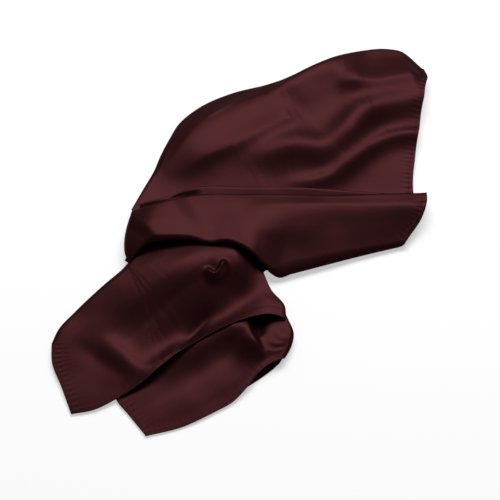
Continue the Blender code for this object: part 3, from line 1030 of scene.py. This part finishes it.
def along_line(line, gone, distance):
    """The point at this distance along a line, whose points lie at the distances gone."""
    return Vector([np.interp(distance, gone, line[:, i]) for i in range(3)])


def add_stitches(bm, name):
    """A row of stitches along a hem, each a small long bead lying in it."""
    stretch, side = HEMS[name]
    inset = HEM_WIDTH - STITCH_INSET
    outer, line = Cloth(stretch_named(stretch)).hem(side, [inset - ACROSS_STEP, inset])
    gone = distances(line)
    lift = cloth_sizes().hem / 2 / MM
    half = MM / 2
    sizes = Matrix.Diagonal((STITCH_LENGTH * half, STITCH_WIDTH * half, STITCH_WIDTH * half, 1.0))
    for middle in np.arange(STITCH_PITCH, gone[-1] - STITCH_PITCH / 2, STITCH_PITCH):
        behind, ahead = (along_line(line, gone, middle + step) for step in (-1, 1))
        place = (behind + ahead) / 2
        run = (ahead - behind).normalized()
        up = run.cross(along_line(outer, gone, middle) - place).normalized()
        up = -up if up.z < 0 else up
        turn = Matrix((run, up.cross(run), up)).transposed().to_4x4()
        spot = Matrix.Translation((place + up * lift) * MM)
        bmesh.ops.create_uvsphere(
            bm,
            u_segments=STITCH_SIDES,
            v_segments=STITCH_RINGS,
            radius=1.0,
            matrix=spot @ turn @ sizes,
        )


def height_map(tree, low, high):
    """The cloth's height from below on a plan raster, infinite where there's none."""
    columns = np.arange(low[0], high[0], ROOM_STEP)
    rows = np.arange(low[1], high[1], ROOM_STEP)
    heights = np.full((len(columns), len(rows)), np.inf)
    for i, x in enumerate(columns):
        for j, y in enumerate(rows):
            hit = tree.ray_cast(Vector((x, y, BELOW_ALL)), Vector((0, 0, 1)))[0]
            if hit is not None:
                heights[i, j] = hit.z
    return heights


def room_under(tree, plan):
    """How high the layers underneath may reach at each plan point, below all of the cloth near it."""
    low = plan.reshape(-1, 2).min(axis=0) - ROOM_REACH
    high = plan.reshape(-1, 2).max(axis=0) + ROOM_REACH
    heights = height_map(tree, low, high)
    reach = int(ROOM_REACH / ROOM_STEP)
    padded = np.pad(heights, reach, constant_values=np.inf)
    size = heights.shape
    shifts = [(i, j) for i in range(2 * reach + 1) for j in range(2 * reach + 1)]
    lowest = np.min([padded[i : i + size[0], j : j + size[1]] for i, j in shifts], axis=0)
    spot = (plan - low) / ROOM_STEP
    corner = np.floor(spot).astype(int)
    share = spot - corner
    room = np.zeros(plan.shape[:2])
    for i in (0, 1):
        for j in (0, 1):
            weight = np.abs(1 - i - share[..., 0]) * np.abs(1 - j - share[..., 1])
            room += weight * np.minimum(lowest[corner[..., 0] + i, corner[..., 1] + j], CORE_TOP * 2)
    return room - cloth_sizes().shell / MM / 2 - CORE_CLEARANCE


def tree_of(objects):
    """The middle surfaces of these pieces as one tree of faces, in millimetres."""
    points = []
    faces = []
    for obj in objects:
        base = len(points)
        points += [vert.co / MM for vert in obj.data.vertices]
        faces += [[base + corner for corner in face.vertices] for face in obj.data.polygons]
    return BVHTree.FromPolygons(points, faces)


def make_hidden_layers():
    """The folded layers underneath: flat below, stepped at their edges, and close under the cloth."""
    above = [bpy.data.objects[stretch.name + "_cloth"] for stretch in STRETCHES]
    above += [bpy.data.objects[name + "_strip"] for name in HEMS]
    sections = spline(CORE_SECTIONS, CORE_COLUMNS)
    widths = np.linalg.norm(sections[:, 2:] - sections[:, :2], axis=1)
    edges = LAYER_WIDTH * np.arange(1, LAYERS + 1)
    steps = np.concatenate([[0.0], np.column_stack([edges, edges + LAYER_SLOPE]).ravel()])
    head = steps[:, None] / widths
    body = np.linspace(head[-1], 1 - head[-1], CORE_ROWS)[1:-1]
    v = np.vstack([head, body, 1 - head[::-1]])
    plan = sections[None, :, :2] * (1 - v[..., None]) + sections[None, :, 2:] * v[..., None]
    inset = np.minimum(v, 1 - v) * widths
    layers_out = 1 + (inset[..., None] > edges + LAYER_SLOPE / 2).sum(axis=2)
    terrace = np.where(layers_out > LAYERS, CORE_TOP, LAYER_HEIGHT * layers_out)
    height = np.clip(np.minimum(room_under(tree_of(above), plan), terrace), CORE_LEAST, CORE_TOP)
    grid = np.concatenate([plan, height[..., None]], axis=2)
    # The layers take the darker copy of the satin, painted shade for where they lie under the cloth
    obj = grid_object("hidden_layers_cloth", grid, bpy.data.materials["satin_under_painted_shade"])
    bm = bmesh.new()
    bm.from_mesh(obj.data)
    below = bmesh.ops.extrude_face_region(bm, geom=bm.faces[:])["geom"]
    for vert in [item for item in below if isinstance(item, bmesh.types.BMVert)]:
        vert.co.z = 0.0
    bmesh.ops.recalc_face_normals(bm, faces=bm.faces[:])
    bm.to_mesh(obj.data)
    bm.free()
    return on_scarf(obj, "satin_under", "hidden_layers")


# Stage, in metres

FLOOR_SIZE = 40.0
FLOOR_DROP = 0.1 * MM
FLOOR_ROUGHNESS = 0.9
FLOOR_GLOW = 0.48
WORLD_LEVEL = 0.1
AIM = Vector((-1.5, -27.0, 0.0)) * MM
FRAME_WIDTH = 0.485
KEY_PLACE = (0.2, 2.0, 2.3)
KEY_WIDTH = 3.0
KEY_LENGTH = 1.5

# The camera's sensor, in millimetres
SENSOR_WIDTH = 36.0


def make_floor():
    """A wide pale floor that glows for the camera and in the satin's sheen, and lights nothing else."""
    bm = bmesh.new()
    bmesh.ops.create_grid(bm, x_segments=1, y_segments=1, size=FLOOR_SIZE / 2)
    bmesh.ops.translate(bm, verts=bm.verts[:], vec=(0, 0, -FLOOR_DROP))
    material, tree, shader = new_finish("floor", FLOOR_ROUGHNESS, 0.0)
    shader.inputs["Base Color"].default_value = stage_values().floor
    rays = add_node(tree, "ShaderNodeLightPath")
    glossy = add_node(tree, "ShaderNodeMath", operation="MAXIMUM")
    seen = add_node(tree, "ShaderNodeMath", operation="MAXIMUM")
    tree.links.new(rays.outputs["Is Glossy Ray"], glossy.inputs[0])
    tree.links.new(rays.outputs["Is Transmission Ray"], glossy.inputs[1])
    tree.links.new(rays.outputs["Is Camera Ray"], seen.inputs[0])
    tree.links.new(glossy.outputs["Value"], seen.inputs[1])
    glow = add_node(tree, "ShaderNodeMath", operation="MULTIPLY")
    glow.inputs[1].default_value = FLOOR_GLOW
    tree.links.new(seen.outputs["Value"], glow.inputs[0])
    shader.inputs["Emission Color"].default_value = (1, 1, 1, 1)
    tree.links.new(glow.outputs["Value"], shader.inputs["Emission Strength"])
    floor = new_object("floor", bm, material)


def make_world():
    world = bpy.data.worlds.new("studio")
    bpy.context.scene.world = world
    world.use_nodes = True
    background = world.node_tree.nodes["Background"]
    background.inputs["Color"].default_value = (1, 1, 1, 1)
    background.inputs["Strength"].default_value = WORLD_LEVEL


def aimed(obj, place, aim):
    """Puts a lamp or a camera in its place and turns it to what it looks at."""
    obj.location = place
    obj.rotation_euler = (aim - Vector(place)).to_track_quat("-Z", "Y").to_euler()
    bpy.context.scene.collection.objects.link(obj)


def make_lamp():
    light = bpy.data.lights.new("key", "AREA")
    light.shape = "RECTANGLE"
    light.size = KEY_WIDTH
    light.size_y = KEY_LENGTH
    light.energy = stage_values().key
    aimed(bpy.data.objects.new("key", light), KEY_PLACE, AIM)


def make_camera():
    values = stage_values()
    camera = bpy.data.cameras.new("camera")
    camera.sensor_width = SENSOR_WIDTH
    camera.lens = SENSOR_WIDTH * values.camera_distance / FRAME_WIDTH
    obj = bpy.data.objects.new("camera", camera)
    toward = Vector((0.0, -math.cos(values.camera_height), math.sin(values.camera_height)))
    aimed(obj, AIM + values.camera_distance * toward, AIM)
    bpy.context.scene.camera = obj
    bpy.context.scene.view_settings.view_transform = "Standard"


# Operators


class SCARF_OT_finishes(bpy.types.Operator):
    """Make the satin, hem and thread finishes, and a darker copy of the satin as painted shade on the
    layers underneath.
    """

    bl_idname = "scarf.finishes"
    bl_label = "Finishes"

    def execute(self, context):
        color = finish_values().satin
        satin("satin_face", color)
        satin("satin_turned", tinted(color, TURNED_SHADE))
        # A darker copy of the satin, painted shade for the layers underneath
        satin("satin_under_painted_shade", tinted(color, INSIDE_PAINTED_SHADE))
        thread_finish("hem_thread")
        return {"FINISHED"}


class SCARF_OT_fan(bpy.types.Operator):
    """Make the spread end: the back stretch, the tuck and the front flap."""

    bl_idname = "scarf.fan"
    bl_label = "Fan"

    def execute(self, context):
        for name in ("fan_back", "fan_tuck", "fan_front"):
            make_stretch(name)
        return {"FINISHED"}


class SCARF_OT_tails(bpy.types.Operator):
    """Make the two hemmed corners that lie as tails."""

    bl_idname = "scarf.tails"
    bl_label = "Tails"

    def execute(self, context):
        for name in ("tail_upper", "tail_lower"):
            make_stretch(name)
        return {"FINISHED"}


class SCARF_OT_hems(bpy.types.Operator):
    """Make the turned hems and their stitches."""

    bl_idname = "scarf.hems"
    bl_label = "Hems"

    def execute(self, context):
        bm = bmesh.new()
        for name in HEMS:
            make_hem(name)
            add_stitches(bm, name)
        on_scarf(new_object("hem_stitches", bm, bpy.data.materials["hem_thread"]), "satin_hem")
        return {"FINISHED"}


class SCARF_OT_layers(bpy.types.Operator):
    """Make the folded layers underneath."""

    bl_idname = "scarf.layers"
    bl_label = "Layers underneath"

    def execute(self, context):
        make_hidden_layers()
        return {"FINISHED"}


class SCARF_OT_stage(bpy.types.Operator):
    """Make the pale floor, the soft lamp and the camera."""

    bl_idname = "scarf.stage"
    bl_label = "Stage"

    def execute(self, context):
        make_floor()
        make_world()
        make_lamp()
        make_camera()
        return {"FINISHED"}


class SCARF_PT_panel(bpy.types.Panel):
    """Lists the scarf's steps and their settings."""

    bl_label = "Scarf"
    bl_idname = "SCARF_PT_panel"
    bl_space_type = "VIEW_3D"
    bl_region_type = "UI"
    bl_category = "Scarf"

    def draw(self, context):
        for group in (context.scene.scarf_finish, context.scene.scarf_cloth, context.scene.scarf_stage):
            box = self.layout.box()
            for name in group.__annotations__:
                box.prop(group, name)
        for step in STEPS:
            self.layout.operator(step.bl_idname)


STEPS = [
    SCARF_OT_finishes,
    SCARF_OT_fan,
    SCARF_OT_tails,
    SCARF_OT_hems,
    SCARF_OT_layers,
    SCARF_OT_stage,
]
GROUPS = {"scarf_cloth": ScarfCloth, "scarf_finish": ScarfFinish, "scarf_stage": ScarfStage}


def register():
    for name, group in GROUPS.items():
        bpy.utils.register_class(group)
        setattr(bpy.types.Scene, name, bpy.props.PointerProperty(type=group))
    for step in STEPS:
        bpy.utils.register_class(step)
    bpy.utils.register_class(SCARF_PT_panel)


def unregister():
    bpy.utils.unregister_class(SCARF_PT_panel)
    for step in reversed(STEPS):
        bpy.utils.unregister_class(step)
    for name, group in GROUPS.items():
        delattr(bpy.types.Scene, name)
        bpy.utils.unregister_class(group)


def main():
    register()
    for step in STEPS:
        group, action = step.bl_idname.split(".")
        getattr(getattr(bpy.ops, group), action)()


if __name__ == "__main__":
    main()
